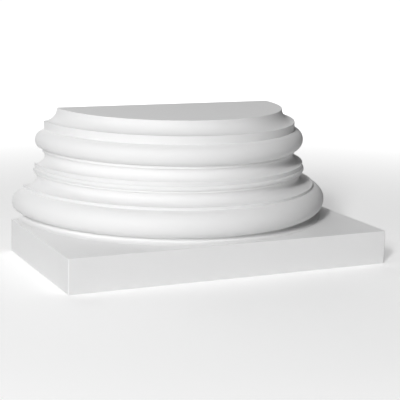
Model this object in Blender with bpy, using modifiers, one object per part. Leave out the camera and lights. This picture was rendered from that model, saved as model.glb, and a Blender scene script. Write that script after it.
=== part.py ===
"""Half column base for a column that stands half out of a wall.

The whole base would be a square plinth with a ring of turned mouldings on it. Here it is cut
off flat at the wall face, a little behind the column's axis. Seen from the top down, the
mouldings are a cavetto, a collar, the upper torus, the upper scotia, a lip with a bead, the
lower scotia, a lip, the lower torus and a small cove that runs out on the plinth.

Metres, +Z up. +X runs along the wall and +Y points into it. The origin is the middle of the
underside.
"""
import math

import bmesh
import bpy

# The shaft that stands on the base, and the wall behind it
SHAFT_RADIUS = 0.1430  # also the radius of the seat on top
AXIS_TO_WALL = 0.0050  # the column's axis stands this far in front of the wall face

# Cavetto and collar, under the seat
CAVETTO_REACH = 0.0164
CAVETTO_HEIGHT = 0.0154
COLLAR_HEIGHT = 0.0100

# Upper torus: a bulge is how far a round member stands out past the band above it
UPPER_TORUS_RADIUS = 0.0123
UPPER_TORUS_BULGE = 0.0111

# Upper scotia, hung from a narrow band that stands out past the collar
UPPER_BAND_STEP = 0.0016
UPPER_BAND_HEIGHT = 0.0033
UPPER_SCOTIA_UNDERCUT = 0.0026
UPPER_SCOTIA_TURN = 0.0040
UPPER_SCOTIA_REACH = 0.0100
UPPER_SCOTIA_HEIGHT = 0.0130

# Lip and bead between the scotias
MIDDLE_LIP_HEIGHT = 0.0048
BEAD_SETBACK = 0.0008  # the bead starts this far in under the lip, past a fine groove
BEAD_RADIUS = 0.0032
BEAD_BULGE = 0.0027

# Lower scotia, hung from a narrow band set back from the lip above the bead
LOWER_BAND_SETBACK = 0.0002
LOWER_BAND_HEIGHT = 0.0021
LOWER_SCOTIA_UNDERCUT = 0.0026
LOWER_SCOTIA_TURN = 0.0048
LOWER_SCOTIA_REACH = 0.0143
LOWER_SCOTIA_HEIGHT = 0.0132

# Lower torus with its lip above and its cove below
LOWER_LIP_HEIGHT = 0.0034
LOWER_TORUS_RADIUS = 0.0158
LOWER_TORUS_BULGE = 0.0143
COVE_REACH = 0.0115
COVE_HEIGHT = 0.0056
COVE_EDGE = 0.0002  # the cove ends in an edge this high and not in a feather edge
COVE_SETBACK = 0.0160  # the cove springs this far inside the torus's outermost line

# Plinth
PLINTH_HEIGHT = 0.0397
PLINTH_MARGIN = 0.0006  # its sides stand out past the lower torus by this much
PLINTH_ARRIS = 0.0012  # its outer edges are rounded to this radius

# Fineness of the round forms
TURN_STEPS = 108
TORUS_STEPS = 9
HOLLOW_STEPS = 6
TURN_IN_STEPS = 3
BEAD_STEPS = 5
COVE_STEPS = 3
ARRIS_STEPS = 2

ROOT_SHARE = 0.5  # the mouldings' root goes this far down into the plinth
CUTTER_MARGIN = 0.010
MERGE_DISTANCE = 0.00001
SMOOTH_LIMIT = math.radians(25.0)

PRIMER_COLOUR = (0.9, 0.9, 0.9, 1.0)
PRIMER_ROUGHNESS = 0.55

NAME = "half_column_base"


class Outline:
    """A turned outline, drawn from the middle of the top, out and down.

    Its points are (radius from the axis, height), and heights count down from the top.
    """

    def __init__(self, radius):
        self.points = [(0.0, 0.0), (radius, 0.0)]

    @property
    def radius(self):
        return self.points[-1][0]

    @property
    def height(self):
        return self.points[-1][1]

    def band(self, height):
        """Run straight down."""
        self.points.append((self.radius, self.height - height))

    def ledge(self, reach):
        """Run level, outwards for a reach above zero."""
        self.points.append((self.radius + reach, self.height))

    def arc(self, centre, radii, start, end, steps):
        """Follow an elliptical arc, whose first point is already there."""
        for step in range(1, steps + 1):
            angle = start + (end - start) * step / steps
            self.points.append((centre[0] + radii[0] * math.cos(angle),
                                centre[1] + radii[1] * math.sin(angle)))

    def hollow(self, reach, height, steps):
        """Turn in a quarter hollow from straight down to level outwards."""
        centre = (self.radius + reach, self.height)
        self.arc(centre, (reach, height), math.pi, 1.5 * math.pi, steps)

    def scotia(self, undercut, turn, reach, height):
        """Turn in under the band above, then sweep out to a lip past it."""
        self.arc((self.radius, self.height - turn), (undercut, turn),
                 0.5 * math.pi, math.pi, TURN_IN_STEPS)
        self.hollow(undercut + reach, height - turn, HOLLOW_STEPS)

    def round(self, radius, bulge, end_radius, steps):
        """Bulge out in part of a circle, and end under it at the given radius."""
        centre_radius = self.radius + bulge - radius
        start = math.acos((self.radius - centre_radius) / radius)
        end = -math.acos((end_radius - centre_radius) / radius)
        centre = (centre_radius, self.height - radius * math.sin(start))
        self.arc(centre, (radius, radius), start, end, steps)


def moulding_outline():
    """Draw the mouldings' outline down to the end of the cove.

    Returns the outline and the radius of the lower torus's outermost line.
    """
    outline = Outline(SHAFT_RADIUS)
    outline.hollow(CAVETTO_REACH, CAVETTO_HEIGHT, HOLLOW_STEPS)
    outline.band(COLLAR_HEIGHT)

    upper_band_radius = outline.radius + UPPER_BAND_STEP
    outline.round(UPPER_TORUS_RADIUS, UPPER_TORUS_BULGE, upper_band_radius, TORUS_STEPS)
    outline.band(UPPER_BAND_HEIGHT)
    outline.scotia(UPPER_SCOTIA_UNDERCUT, UPPER_SCOTIA_TURN,
                   UPPER_SCOTIA_REACH, UPPER_SCOTIA_HEIGHT)
    outline.band(MIDDLE_LIP_HEIGHT)

    lower_band_radius = outline.radius - LOWER_BAND_SETBACK
    outline.ledge(-BEAD_SETBACK)
    outline.round(BEAD_RADIUS, BEAD_BULGE, lower_band_radius, BEAD_STEPS)
    outline.band(LOWER_BAND_HEIGHT)
    outline.scotia(LOWER_SCOTIA_UNDERCUT, LOWER_SCOTIA_TURN,
                   LOWER_SCOTIA_REACH, LOWER_SCOTIA_HEIGHT)
    outline.band(LOWER_LIP_HEIGHT)

    widest = outline.radius + LOWER_TORUS_BULGE
    outline.round(LOWER_TORUS_RADIUS, LOWER_TORUS_BULGE, widest - COVE_SETBACK, TORUS_STEPS)
    outline.hollow(COVE_REACH, COVE_HEIGHT, COVE_STEPS)
    return outline, widest


def linked(name, mesh, collection):
    """Make an object of the mesh in the collection."""
    obj = bpy.data.objects.new(name, mesh)
    collection.objects.link(obj)
    return obj


def as_cutter(obj):
    """Show a helper solid as wires, and keep it out of renders."""
    obj.display_type = "WIRE"
    obj.hide_render = True


def block(name, low, high, collection):
    """Make a box between two corners."""
    mesh = bpy.data.meshes.new(name)
    bm = bmesh.new()
    bmesh.ops.create_cube(bm, size=1.0)
    for vert in bm.verts:
        for axis in range(3):
            vert.co[axis] = low[axis] if vert.co[axis] < 0.0 else high[axis]
    bm.to_mesh(mesh)
    bm.free()
    return linked(name, mesh, collection)


def round_outer_edges(obj, radius):
    """Round every edge of a box but those of its underside."""
    bm = bmesh.new()
    bm.from_mesh(obj.data)
    floor = min(vert.co.z for vert in bm.verts)
    edges = [edge for edge in bm.edges
             if max(vert.co.z for vert in edge.verts) > floor]
    bmesh.ops.bevel(bm, geom=edges, offset=radius, segments=ARRIS_STEPS, profile=0.5,
                    affect="EDGES", clamp_overlap=True)
    bm.to_mesh(obj.data)
    bm.free()


def turned(name, points, collection):
    """Turn an outline of (radius, height) points once round the Z axis."""
    mesh = bpy.data.meshes.new(name)
    vertices = [(radius, 0.0, height) for radius, height in points]
    edges = [(index, index + 1) for index in range(len(points) - 1)]
    mesh.from_pydata(vertices, edges, [])
    obj = linked(name, mesh, collection)
    screw = obj.modifiers.new("Turn", "SCREW")
    screw.axis = "Z"
    screw.angle = 2.0 * math.pi
    screw.steps = TURN_STEPS
    screw.render_steps = TURN_STEPS
    screw.use_merge_vertices = True
    screw.merge_threshold = MERGE_DISTANCE
    return obj


def combine(obj, other, operation):
    """Add a Boolean modifier that joins or cuts with another solid."""
    boolean = obj.modifiers.new(other.name, "BOOLEAN")
    boolean.operation = operation
    boolean.solver = "EXACT"
    boolean.object = other


def settle(obj):
    """Fix the modifiers into the mesh, and shade its round faces smooth."""
    graph = bpy.context.evaluated_depsgraph_get()
    mesh = bpy.data.meshes.new_from_object(obj.evaluated_get(graph))
    obj.modifiers.clear()
    obj.data = mesh
    mesh.name = obj.name
    mesh.shade_smooth()
    mesh.set_sharp_from_angle(angle=SMOOTH_LIMIT)


def primer_material():
    """White primer on smooth rigid foam."""
    material = bpy.data.materials.new("white_primer")
    material.use_nodes = True
    shader = material.node_tree.nodes["Principled BSDF"]
    shader.inputs["Base Color"].default_value = PRIMER_COLOUR
    shader.inputs["Roughness"].default_value = PRIMER_ROUGHNESS
    shader.inputs["Metallic"].default_value = 0.0
    return material


def build_base(parts, cutters):
    """Build the whole column base, then cut it off at the wall face."""
    outline, widest = moulding_outline()
    half_width = widest + PLINTH_MARGIN
    wall = 0.5 * (half_width + AXIS_TO_WALL)
    axis = wall - AXIS_TO_WALL

    seat = PLINTH_HEIGHT + COVE_EDGE - outline.height
    outline.band(COVE_EDGE + PLINTH_HEIGHT * ROOT_SHARE)
    outline.ledge(-outline.radius)
    placed = [(radius, height + seat) for radius, height in outline.points]
    base = turned(NAME, placed, parts)
    base.location.y = axis

    plinth = block("plinth_block", (-half_width, -half_width, 0.0),
                   (half_width, half_width, PLINTH_HEIGHT), cutters)
    round_outer_edges(plinth, PLINTH_ARRIS)
    plinth.location.y = axis
    as_cutter(plinth)

    reach = half_width + CUTTER_MARGIN
    behind = block("wall_cutter", (-reach, wall, -CUTTER_MARGIN),
                   (reach, axis + reach, seat + CUTTER_MARGIN), cutters)
    as_cutter(behind)

    combine(base, plinth, "UNION")
    combine(base, behind, "DIFFERENCE")
    settle(base)
    base.data.materials.clear()
    base.data.materials.append(primer_material())
    return base


def new_collection(name):
    """Add a collection to the scene."""
    collection = bpy.data.collections.new(name)
    bpy.context.scene.collection.children.link(collection)
    return collection


def main():
    """Clear the scene and build the half column base."""
    for obj in list(bpy.data.objects):
        bpy.data.objects.remove(obj, do_unlink=True)
    parts = new_collection(NAME)
    cutters = new_collection(NAME + "_cutters")
    build_base(parts, cutters)


main()
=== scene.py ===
"""Looks of a half column base: white primed foam mouldings over a plinth, cut off flat at the wall.

Metres, +Z up. +X runs along the wall and +Y points into it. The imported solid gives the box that
the finished surface fills; the sizes of the mouldings are those of the real piece.
"""

import enum
import logging
import math
from dataclasses import dataclass, field

import bmesh
import bpy
from mathutils import Matrix, Vector


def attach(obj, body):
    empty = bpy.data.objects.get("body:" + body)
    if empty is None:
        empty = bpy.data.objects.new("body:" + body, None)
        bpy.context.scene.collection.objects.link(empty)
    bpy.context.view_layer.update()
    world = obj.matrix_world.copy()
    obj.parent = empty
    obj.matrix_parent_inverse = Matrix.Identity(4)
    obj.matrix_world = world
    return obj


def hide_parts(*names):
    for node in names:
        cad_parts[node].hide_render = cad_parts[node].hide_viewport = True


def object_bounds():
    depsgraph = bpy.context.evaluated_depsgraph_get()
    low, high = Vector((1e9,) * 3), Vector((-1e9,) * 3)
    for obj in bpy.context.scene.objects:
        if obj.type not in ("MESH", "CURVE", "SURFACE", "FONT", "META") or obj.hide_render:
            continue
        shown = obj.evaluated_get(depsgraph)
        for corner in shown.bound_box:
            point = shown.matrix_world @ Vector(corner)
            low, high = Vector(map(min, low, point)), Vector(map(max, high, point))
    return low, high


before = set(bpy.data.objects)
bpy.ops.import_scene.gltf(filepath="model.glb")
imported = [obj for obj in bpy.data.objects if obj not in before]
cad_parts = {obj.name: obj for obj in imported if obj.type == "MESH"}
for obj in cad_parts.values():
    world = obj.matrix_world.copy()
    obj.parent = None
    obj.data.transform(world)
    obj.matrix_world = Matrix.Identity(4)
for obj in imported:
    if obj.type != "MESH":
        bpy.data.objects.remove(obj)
cad_low, cad_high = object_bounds()

log = logging.getLogger("half_column_base")

NODE = "half_column_base"
BODY = "root"
PIECE = "column_base_body"

QUARTER_TURN = 0.5 * math.pi
LEAST_LINE_STEPS = 2
LEAST_ARC_STEPS = 4
NOISE_MIDDLE = 0.5
PAINT_IOR = 1.46

Point = tuple[float, float]
Colour = tuple[float, float, float]


class Surface(enum.Enum):
    """The two kinds of surface on the base, by their place in its list of materials."""

    PRIMED = 0
    CUT = 1


def distance(first: Point, second: Point) -> float:
    """Give the distance between two points."""
    return math.hypot(second[0] - first[0], second[1] - first[1])


def between(first: Point, second: Point, share: float) -> Point:
    """Give the point at a share of the way from one point to another."""
    return (first[0] + (second[0] - first[0]) * share,
            first[1] + (second[1] - first[1]) * share)


def trimmed(stroke: list[Point], length: float) -> list[Point]:
    """Take a length off the start of a stroke.

    Args:
        stroke: Points of (radius, height), in order.
        length: How much to take off, at most the stroke's own length.

    Returns:
        The rest of the stroke, from its new first point on.
    """
    left = length
    for index in range(len(stroke) - 1):
        span = distance(stroke[index], stroke[index + 1])
        if span > left:
            return [between(stroke[index], stroke[index + 1], left / span)] + stroke[index + 1:]
        left -= span
    return stroke[-1:]


@dataclass
class Outline:
    """A turned outline from the seat outwards and down, in strokes that meet at arrises and creases.

    Attributes:
        start: The first stroke's first point, as (radius, height).
        pitch: Spacing of the points along each stroke.
        strokes: Lists of (radius, height), each starting where the one before it ends.
    """

    start: Point
    pitch: float
    strokes: list[list[Point]] = field(default_factory=list)

    @property
    def end(self) -> Point:
        """Give the last point drawn."""
        return self.strokes[-1][-1] if self.strokes else self.start

    def line(self, outwards: float, down: float) -> None:
        """Draw a straight stroke.

        Args:
            outwards: How far it goes from the axis.
            down: How far it drops.
        """
        start = self.end
        stop = (start[0] + outwards, start[1] - down)
        steps = max(LEAST_LINE_STEPS, round(distance(start, stop) / self.pitch))
        self.strokes.append([between(start, stop, step / steps) for step in range(steps + 1)])

    def arc(self, centre: Point, radii: Point, start: float, stop: float,
            joined: bool = False) -> None:
        """Draw part of an ellipse.

        Args:
            centre: Its centre.
            radii: Its radii, outwards and upwards.
            start: Angle of its first point, which is the last one drawn.
            stop: Angle of its last point.
            joined: Whether it carries on the last stroke without an arris.
        """
        length = abs(stop - start) * max(radii)
        steps = max(LEAST_ARC_STEPS, round(length / self.pitch))
        angles = [start + (stop - start) * step / steps for step in range(steps + 1)]
        points = [(centre[0] + radii[0] * math.cos(angle), centre[1] + radii[1] * math.sin(angle))
                  for angle in angles]
        if joined:
            self.strokes[-1].extend(points[1:])
        else:
            self.strokes.append(points)

    def hollow(self, reach: float, height: float, joined: bool = False) -> None:
        """Draw a quarter hollow, from straight down to level outwards.

        Args:
            reach: How far it runs out.
            height: How far it drops.
            joined: Whether it carries on the last stroke.
        """
        centre = (self.end[0] + reach, self.end[1])
        self.arc(centre, (reach, height), math.pi, math.pi + QUARTER_TURN, joined)

    def scotia(self, undercut: float, turn: float, reach: float, height: float) -> None:
        """Draw a hollow that turns in under the band above and sweeps out past it.

        Args:
            undercut: How far it goes in behind the band.
            turn: The height of that upper turn.
            reach: How far the lip below stands out past the band.
            height: The height of the whole hollow.
        """
        centre = (self.end[0], self.end[1] - turn)
        self.arc(centre, (undercut, turn), QUARTER_TURN, math.pi)
        self.hollow(undercut + reach, height - turn, joined=True)

    def round(self, radius: float, bulge: float, end_radius: float) -> None:
        """Draw a torus or a bead, as part of a circle.

        Args:
            radius: The circle's radius.
            bulge: How far it stands out past the band above.
            end_radius: Distance from the axis at which it ends underneath.
        """
        centre_radius = self.end[0] + bulge - radius
        start = math.acos((self.end[0] - centre_radius) / radius)
        stop = -math.acos((end_radius - centre_radius) / radius)
        centre = (centre_radius, self.end[1] - radius * math.sin(start))
        self.arc(centre, (radius, radius), start, stop)

    def softened(self, softness: float, steps: int) -> list[Point]:
        """Round off every arris and crease.

        Args:
            softness: How far back from each arris its rounding starts.
            steps: Steps in each rounding.

        Returns:
            One list of points, from the first to the last.
        """
        strokes = [list(stroke) for stroke in self.strokes]
        points: list[Point] = []
        for before, after in zip(strokes, strokes[1:]):
            corner = after[0]
            before[:] = trimmed(before[::-1], softness)[::-1]
            after[:] = trimmed(after, softness)
            points += before
            for step in range(1, steps):
                share = step / steps
                points.append(between(between(before[-1], corner, share),
                                      between(corner, after[0], share), share))
        return points + strokes[-1]


@dataclass
class Mouldings:
    """The turned members between the shaft and the plinth, from the top down.

    A reach or step is how far a member stands out past the one above it, and a setback how far
    it stands in. A bulge is how far a round one stands out past the band above. An undercut and
    a turn are the depth and the height of a scotia's upper turn, in behind its band.

    Attributes:
        seat_rim: How much of the seat, at its rim, belongs to the outline.
        cove_setback: How far inside the lower torus's outermost line the cove springs.
        cove_edge: Height of the edge in which the cove ends on the plinth.
        softness: How far back from each arris its rounding starts.
        soft_steps: Steps in each rounding.
        pitch: Spacing of the points along the outline.
    """

    shaft_radius: float = 0.1430
    seat_rim: float = 0.0020
    cavetto_reach: float = 0.0164
    cavetto_height: float = 0.0154
    collar_height: float = 0.0100
    upper_torus_radius: float = 0.0123
    upper_torus_bulge: float = 0.0111
    upper_band_step: float = 0.0016
    upper_band_height: float = 0.0033
    upper_scotia_undercut: float = 0.0026
    upper_scotia_turn: float = 0.0040
    upper_scotia_reach: float = 0.0100
    upper_scotia_height: float = 0.0130
    middle_lip_height: float = 0.0048
    bead_setback: float = 0.0008
    bead_radius: float = 0.0032
    bead_bulge: float = 0.0027
    lower_band_setback: float = 0.0002
    lower_band_height: float = 0.0021
    lower_scotia_undercut: float = 0.0026
    lower_scotia_turn: float = 0.0048
    lower_scotia_reach: float = 0.0143
    lower_scotia_height: float = 0.0132
    lower_lip_height: float = 0.0034
    lower_torus_radius: float = 0.0158
    lower_torus_bulge: float = 0.0143
    cove_setback: float = 0.0160
    cove_reach: float = 0.0115
    cove_height: float = 0.0056
    cove_edge: float = 0.0002
    softness: float = 0.00045
    soft_steps: int = 4
    pitch: float = 0.0008

    def outline(self, seat: float) -> list[Point]:
        """Draw the outline, from just inside the seat's rim to the cove's edge on the plinth.

        Args:
            seat: Height of the seat.

        Returns:
            Points of (radius, height).
        """
        line = Outline((self.shaft_radius - self.seat_rim, seat), self.pitch)
        line.line(self.seat_rim, 0.0)
        line.hollow(self.cavetto_reach, self.cavetto_height)
        line.line(0.0, self.collar_height)

        upper_band = line.end[0] + self.upper_band_step
        line.round(self.upper_torus_radius, self.upper_torus_bulge, upper_band)
        line.line(0.0, self.upper_band_height)
        line.scotia(self.upper_scotia_undercut, self.upper_scotia_turn,
                    self.upper_scotia_reach, self.upper_scotia_height)
        line.line(0.0, self.middle_lip_height)

        lower_band = line.end[0] - self.lower_band_setback
        line.line(-self.bead_setback, 0.0)
        line.round(self.bead_radius, self.bead_bulge, lower_band)
        line.line(0.0, self.lower_band_height)
        line.scotia(self.lower_scotia_undercut, self.lower_scotia_turn,
                    self.lower_scotia_reach, self.lower_scotia_height)
        line.line(0.0, self.lower_lip_height)

        foot = line.end[0] + self.lower_torus_bulge - self.cove_setback
        line.round(self.lower_torus_radius, self.lower_torus_bulge, foot)
        line.hollow(self.cove_reach, self.cove_height)
        return line.softened(self.softness, self.soft_steps)


@dataclass
class Plinth:
    """The square block under the mouldings, cut off at the wall.

    Attributes:
        half_width: Half its length along the wall.
        front: Its front face's place.
        wall: The wall face's place.
        height: Its thickness.
        arris: Radius of its upper edges.
        foot_arris: Radius of its lower edges.
        corner_radius: Radius of its upright edges.
        corner_steps: Steps round an upright edge.
        arris_steps: Steps round an upper or lower edge.
    """

    half_width: float
    front: float
    wall: float
    height: float
    arris: float = 0.0005
    foot_arris: float = 0.0005
    corner_radius: float = 0.0012
    corner_steps: int = 6
    arris_steps: int = 5

    def plan(self, inset: float) -> list[Point]:
        """Give the plan's outline, from the wall round the front and back to the wall.

        Args:
            inset: How far inside the block's sides it runs.

        Returns:
            Points of (x, y).
        """
        centre_x = self.half_width - self.corner_radius
        centre_y = self.front + self.corner_radius
        radius = self.corner_radius - inset
        turns = [QUARTER_TURN * step / self.corner_steps for step in range(self.corner_steps + 1)]
        left = [(-centre_x - radius * math.cos(turn), centre_y - radius * math.sin(turn))
                for turn in turns]
        right = [(-x, y) for x, y in reversed(left)]
        side = self.half_width - inset
        return [(-side, self.wall)] + left + right + [(side, self.wall)]

    def levels(self) -> list[Point]:
        """Give the rises of the sides as (inset, height), from the underside to the top."""
        turns = [QUARTER_TURN * step / self.arris_steps for step in range(self.arris_steps + 1)]
        foot = [(self.foot_arris * (1.0 - math.sin(turn)), self.foot_arris * (1.0 - math.cos(turn)))
                for turn in turns]
        top = [(self.arris * (1.0 - math.cos(turn)),
                self.height - self.arris * (1.0 - math.sin(turn))) for turn in turns]
        return foot + top


@dataclass(frozen=True)
class NoiseGroup:
    """A shader node group that the finishes share: noise on the object's own coordinates.

    Attributes:
        detail: How many finer layers of noise it adds.
        roughness: How strong each finer layer is against the one before.
    """

    name: str
    detail: float
    roughness: float

    def build(self) -> bpy.types.NodeTree:
        """Build the group once.

        Returns:
            A group with the inputs Size and Strength, and the outputs Value and Height.
        """
        if self.name in bpy.data.node_groups:
            return bpy.data.node_groups[self.name]
        tree = bpy.data.node_groups.new(self.name, "ShaderNodeTree")
        for name in ("Size", "Strength"):
            tree.interface.new_socket(name, in_out="INPUT", socket_type="NodeSocketFloat")
        for name in ("Value", "Height"):
            tree.interface.new_socket(name, in_out="OUTPUT", socket_type="NodeSocketFloat")
        nodes, links = tree.nodes, tree.links
        inputs = nodes.new("NodeGroupInput")
        outputs = nodes.new("NodeGroupOutput")
        place = nodes.new("ShaderNodeTexCoord")
        scale = nodes.new("ShaderNodeMath")
        scale.operation = "DIVIDE"
        scale.inputs[0].default_value = 1.0
        noise = nodes.new("ShaderNodeTexNoise")
        noise.inputs["Detail"].default_value = self.detail
        noise.inputs["Roughness"].default_value = self.roughness
        centred = nodes.new("ShaderNodeMath")
        centred.operation = "SUBTRACT"
        centred.inputs[1].default_value = NOISE_MIDDLE
        value = nodes.new("ShaderNodeMath")
        value.operation = "MULTIPLY"
        links.new(inputs.outputs["Size"], scale.inputs[1])
        links.new(place.outputs["Object"], noise.inputs["Vector"])
        links.new(scale.outputs[0], noise.inputs["Scale"])
        links.new(noise.outputs["Fac"], centred.inputs[0])
        links.new(centred.outputs[0], value.inputs[0])
        links.new(inputs.outputs["Strength"], value.inputs[1])
        links.new(value.outputs[0], outputs.inputs["Value"])
        links.new(noise.outputs["Fac"], outputs.inputs["Height"])
        return tree


GRAIN = NoiseGroup("fine_grain", detail=3.0, roughness=0.6)
MOTTLE = NoiseGroup("broad_mottle", detail=2.0, roughness=0.5)


@dataclass(frozen=True)
class Finish:
    """A matt, slightly mottled finish with a fine grain.

    Attributes:
        grain_size: Size of the grain.
        grain_depth: Height of the grain.
        mottle_size: Size of the mottling in the tone.
        mottle_tone: How far the mottling changes the tone, as a share of it.
        mottle_gloss: How far it changes the roughness.
        gloss_share: Size of the mottling in the roughness, against that in the tone.
    """

    name: str
    colour: Colour
    roughness: float
    grain_size: float
    grain_depth: float
    mottle_size: float
    mottle_tone: float
    mottle_gloss: float
    gloss_share: float = 0.5

    def build(self) -> bpy.types.Material:
        """Build the material.

        Returns:
            A Principled material whose tone, roughness and normal change over the surface.
        """
        material = bpy.data.materials.new(self.name)
        material.use_nodes = True
        nodes, links = material.node_tree.nodes, material.node_tree.links
        shader = nodes["Principled BSDF"]
        shader.inputs["Metallic"].default_value = 0.0
        shader.inputs["IOR"].default_value = PAINT_IOR

        tone = self.placed(nodes, MOTTLE, self.mottle_size, self.mottle_tone)
        colour = nodes.new("ShaderNodeVectorMath")
        colour.operation = "SCALE"
        colour.inputs[0].default_value = self.colour
        lift = nodes.new("ShaderNodeMath")
        lift.operation = "ADD"
        lift.inputs[1].default_value = 1.0
        links.new(tone.outputs["Value"], lift.inputs[0])
        links.new(lift.outputs[0], colour.inputs["Scale"])
        links.new(colour.outputs[0], shader.inputs["Base Color"])

        gloss = self.placed(nodes, MOTTLE, self.gloss_share * self.mottle_size, self.mottle_gloss)
        rough = nodes.new("ShaderNodeMath")
        rough.operation = "ADD"
        rough.inputs[1].default_value = self.roughness
        links.new(gloss.outputs["Value"], rough.inputs[0])
        links.new(rough.outputs[0], shader.inputs["Roughness"])

        grain = self.placed(nodes, GRAIN, self.grain_size, 1.0)
        bump = nodes.new("ShaderNodeBump")
        bump.inputs["Strength"].default_value = 1.0
        bump.inputs["Distance"].default_value = self.grain_depth
        links.new(grain.outputs["Height"], bump.inputs["Height"])
        links.new(bump.outputs[0], shader.inputs["Normal"])
        return material

    @staticmethod
    def placed(nodes: bpy.types.Nodes, group: NoiseGroup, size: float,
               strength: float) -> bpy.types.Node:
        """Place a shared group in a material.

        Args:
            nodes: The material's nodes.
            group: The shared group.
            size: Its features' size.
            strength: How far its value swings.

        Returns:
            The group's node.
        """
        node = nodes.new("ShaderNodeGroup")
        node.node_tree = group.build()
        node.inputs["Size"].default_value = size
        node.inputs["Strength"].default_value = strength
        return node


FINISHES = {
    Surface.PRIMED: Finish("white_primer_coat", (0.93, 0.93, 0.93), roughness=0.66,
                           grain_size=0.0006, grain_depth=0.00002,
                           mottle_size=0.060, mottle_tone=0.012, mottle_gloss=0.05),
    Surface.CUT: Finish("sanded_foam", (0.80, 0.79, 0.765), roughness=0.75,
                        grain_size=0.0009, grain_depth=0.00008,
                        mottle_size=0.030, mottle_tone=0.03, mottle_gloss=0.06),
}


@dataclass
class HalfColumnBase:
    """The whole piece: mouldings and plinth in one skin, cut off flat at the wall.

    Attributes:
        low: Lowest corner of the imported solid's box.
        high: Its highest corner.
        axis_to_wall: How far in front of the wall face the column's axis stands.
        columns: Steps round the turned members.
        sharp_angle: Edges that turn by more than this stay sharp.
        mouldings: The turned members.
    """

    low: Vector
    high: Vector
    axis_to_wall: float = 0.0050
    columns: int = 208
    sharp_angle: float = math.radians(40.0)
    mouldings: Mouldings = field(default_factory=Mouldings)

    @property
    def wall(self) -> float:
        """Give the wall face's place."""
        return self.high.y

    @property
    def axis(self) -> float:
        """Give the place of the column's axis."""
        return self.wall - self.axis_to_wall

    def turned_row(self, bm: bmesh.types.BMesh, radius: float,
                   height: float) -> list[bmesh.types.BMVert]:
        """Turn one point of the outline round the axis, from the wall to the wall.

        Args:
            bm: The mesh being made.
            radius: The point's distance from the axis.
            height: Its height.

        Returns:
            The row's vertices, from -X to +X.
        """
        reach = QUARTER_TURN + math.asin(self.axis_to_wall / radius)
        row = []
        for column in range(self.columns + 1):
            angle = reach * (2.0 * column / self.columns - 1.0)
            row.append(bm.verts.new((radius * math.sin(angle),
                                     self.axis - radius * math.cos(angle), height)))
        for end in (row[0], row[-1]):
            end.co.y = self.wall
        return row

    @staticmethod
    def skin(bm: bmesh.types.BMesh, rows: list[list[bmesh.types.BMVert]]) -> None:
        """Join rows of vertices with faces.

        Args:
            bm: The mesh being made.
            rows: Rows of equal length.
        """
        for upper, lower in zip(rows, rows[1:]):
            for index in range(len(upper) - 1):
                bm.faces.new((upper[index], lower[index], lower[index + 1], upper[index + 1]))

    def mesh(self) -> bpy.types.Mesh:
        """Build the piece's mesh.

        Returns:
            A closed mesh, with the wall face and the underside as cut surfaces.
        """
        outline = self.mouldings.outline(self.high.z)
        plinth = Plinth(self.high.x, self.low.y, self.wall,
                        outline[-1][1] - self.mouldings.cove_edge)
        bm = bmesh.new()
        turned = [self.turned_row(bm, radius, height) for radius, height in outline]
        turned.append(self.turned_row(bm, outline[-1][0], plinth.height))
        self.skin(bm, turned)
        sides = [[bm.verts.new((x, y, height)) for x, y in plinth.plan(inset)]
                 for inset, height in plinth.levels()]
        self.skin(bm, sides[::-1])

        bm.faces.new(turned[0])
        bm.faces.new(sides[-1] + turned[-1][::-1])
        underside = bm.faces.new(sides[0])
        wall = bm.faces.new([row[0] for row in turned] + [row[0] for row in sides[::-1]]
                            + [row[-1] for row in sides] + [row[-1] for row in turned[::-1]])
        for face in (underside, wall):
            face.material_index = Surface.CUT.value
        bmesh.ops.recalc_face_normals(bm, faces=bm.faces)
        mesh = bpy.data.meshes.new(PIECE)
        bm.to_mesh(mesh)
        bm.free()
        mesh.shade_smooth()
        mesh.set_sharp_from_angle(angle=self.sharp_angle)
        return mesh

    def build(self) -> bpy.types.Object:
        """Build the piece, dress it and put it in the frame.

        Returns:
            The piece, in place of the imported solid.
        """
        piece = bpy.data.objects.new(PIECE, self.mesh())
        bpy.context.scene.collection.objects.link(piece)
        for surface in Surface:
            piece.data.materials.append(FINISHES[surface].build())
        weighted = piece.modifiers.new("Even shading", "WEIGHTED_NORMAL")
        weighted.keep_sharp = True
        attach(piece, BODY)
        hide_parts(NODE)
        return piece


def direction(azimuth: float, elevation: float) -> Vector:
    """Give the direction from the object to a viewer or a lamp.

    Args:
        azimuth: Degrees round from the front, towards +X where above zero.
        elevation: Degrees above the floor.

    Returns:
        A unit vector.
    """
    turn, rise = math.radians(azimuth), math.radians(elevation)
    return Vector((math.sin(turn) * math.cos(rise), -math.cos(turn) * math.cos(rise),
                   math.sin(rise)))


@dataclass(frozen=True)
class Softbox:
    """A square lamp that looks at the object.

    Attributes:
        azimuth: Degrees round from the front, towards +X where above zero.
        elevation: Degrees above the floor.
        size: Length of its side.
        power: Its strength in watts.
        distance: How far from the point it looks at it hangs.
    """

    name: str
    azimuth: float
    elevation: float
    size: float
    power: float
    distance: float = 5.0

    def build(self, aim: Vector) -> bpy.types.Object:
        """Hang the lamp.

        Args:
            aim: The point it looks at.

        Returns:
            The lamp.
        """
        data = bpy.data.lights.new(self.name, "AREA")
        data.shape = "SQUARE"
        data.size = self.size
        data.energy = self.power
        lamp = bpy.data.objects.new(self.name, data)
        bpy.context.scene.collection.objects.link(lamp)
        away = direction(self.azimuth, self.elevation)
        lamp.location = aim + away * self.distance
        lamp.rotation_euler = away.to_track_quat("Z", "Y").to_euler()
        return lamp


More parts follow.
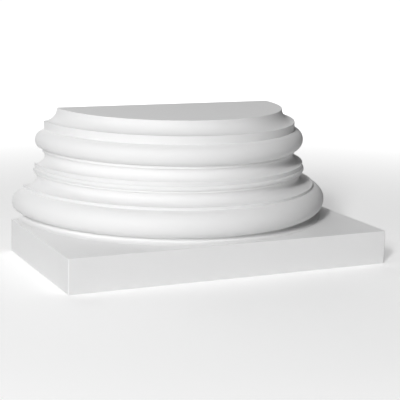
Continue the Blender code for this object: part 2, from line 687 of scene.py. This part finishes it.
@dataclass
class Studio:
    """A pale floor that fades into a white surround, and soft lamps.

    Attributes:
        floor_sides: Sides of the round floor.
        floor_tone: How much light the floor gives back.
        near_lift: How far the floor is brightened to the eye close to the object.
        lift_start: Distance from the object's middle at which it starts to fade to white.
        lift_end: Distance at which it is white.
    """

    floor_radius: float = 30.0
    floor_sides: int = 96
    floor_tone: float = 0.90
    floor_roughness: float = 0.9
    near_lift: float = 0.25
    lift_start: float = 0.35
    lift_end: float = 1.60
    softboxes: tuple[Softbox, ...] = (
        Softbox("upper_key_softbox", -44.0, 31.0, 0.6, 95.0),
        Softbox("lower_key_softbox", -41.0, 22.0, 0.6, 71.0),
        Softbox("left_softbox", -80.0, 45.0, 3.0, 15.0),
        Softbox("front_softbox", 0.0, 55.0, 3.0, 8.0),
        Softbox("top_softbox", 0.0, 88.0, 3.0, 31.0),
        Softbox("back_softbox", 180.0, 36.0, 3.0, 56.0),
    )

    def floor_material(self) -> bpy.types.Material:
        """Make the floor's pale paper, which the camera sees fade to white.

        Returns:
            A matt material whose glow only the camera sees.
        """
        material = bpy.data.materials.new("pale_paper")
        material.use_nodes = True
        nodes, links = material.node_tree.nodes, material.node_tree.links
        shader = nodes["Principled BSDF"]
        shader.inputs["Base Color"].default_value = (self.floor_tone,) * 3 + (1.0,)
        shader.inputs["Roughness"].default_value = self.floor_roughness
        shader.inputs["Emission Strength"].default_value = 1.0
        place = nodes.new("ShaderNodeTexCoord")
        away = nodes.new("ShaderNodeVectorMath")
        away.operation = "LENGTH"
        fade = nodes.new("ShaderNodeMapRange")
        fade.interpolation_type = "SMOOTHSTEP"
        fade.inputs["From Min"].default_value = self.lift_start
        fade.inputs["From Max"].default_value = self.lift_end
        fade.inputs["To Min"].default_value = self.near_lift
        fade.inputs["To Max"].default_value = 1.0
        path = nodes.new("ShaderNodeLightPath")
        seen = nodes.new("ShaderNodeMath")
        seen.operation = "MULTIPLY"
        links.new(place.outputs["Object"], away.inputs[0])
        links.new(away.outputs["Value"], fade.inputs["Value"])
        links.new(fade.outputs["Result"], seen.inputs[0])
        links.new(path.outputs["Is Camera Ray"], seen.inputs[1])
        links.new(seen.outputs[0], shader.inputs["Emission Color"])
        return material

    def floor(self) -> bpy.types.Object:
        """Lay the floor.

        Returns:
            The floor, which isn't part of the object.
        """
        bpy.ops.mesh.primitive_circle_add(vertices=self.floor_sides, radius=self.floor_radius,
                                          fill_type="NGON")
        floor = bpy.context.object
        floor.name = "studio_floor"
        floor.data.materials.append(self.floor_material())
        return floor

    def surround(self) -> None:
        """Make the surround, white to the camera and dark to the object."""
        world = bpy.data.worlds.new("white_surround")
        bpy.context.scene.world = world
        world.use_nodes = True
        nodes, links = world.node_tree.nodes, world.node_tree.links
        background = nodes["Background"]
        background.inputs["Color"].default_value = (1.0, 1.0, 1.0, 1.0)
        path = nodes.new("ShaderNodeLightPath")
        links.new(path.outputs["Is Camera Ray"], background.inputs["Strength"])

    def build(self, aim: Vector) -> None:
        """Set the studio up round the object.

        Args:
            aim: The point that the lamps look at.
        """
        self.floor()
        self.surround()
        for softbox in self.softboxes:
            softbox.build(aim)
        bpy.context.scene.view_settings.view_transform = "Standard"


@dataclass
class Viewpoint:
    """The camera, at the photograph's viewing angle.

    Attributes:
        azimuth: Degrees round from the front, towards +X where above zero.
        elevation: Degrees above the floor.
        roll: Degrees that it is turned about its own view.
        place: Where it stands.
        lens: Its focal length in millimetres.
    """

    azimuth: float = -25.77
    elevation: float = 11.71
    roll: float = 1.57
    place: Vector = field(default_factory=lambda: Vector((-0.6178, -1.2837, 0.3654)))
    lens: float = 109.64

    def build(self) -> bpy.types.Object:
        """Set the camera up.

        Returns:
            The camera.
        """
        data = bpy.data.cameras.new("camera")
        data.lens = self.lens
        camera = bpy.data.objects.new("camera", data)
        bpy.context.scene.collection.objects.link(camera)
        look = direction(self.azimuth, self.elevation).to_track_quat("Z", "Y")
        turn = look.to_matrix() @ Matrix.Rotation(math.radians(self.roll), 3, "Z")
        camera.matrix_world = Matrix.Translation(self.place) @ turn.to_4x4()
        bpy.context.scene.camera = camera
        return camera


def main() -> None:
    """Build the piece, the studio and the camera, and report each."""
    logging.basicConfig(level=logging.INFO, format="%(name)s: %(message)s")
    piece = HalfColumnBase(cad_low, cad_high).build()
    log.info("%s: %d faces", piece.name, len(piece.data.polygons))
    studio = Studio()
    studio.build(Vector((0.0, 0.0, 0.5 * cad_high.z)))
    log.info("studio: floor, surround and %d softboxes", len(studio.softboxes))
    camera = Viewpoint().build()
    log.info("%s: lens %.1f mm", camera.name, camera.data.lens)


if __name__ == "__main__":
    main()
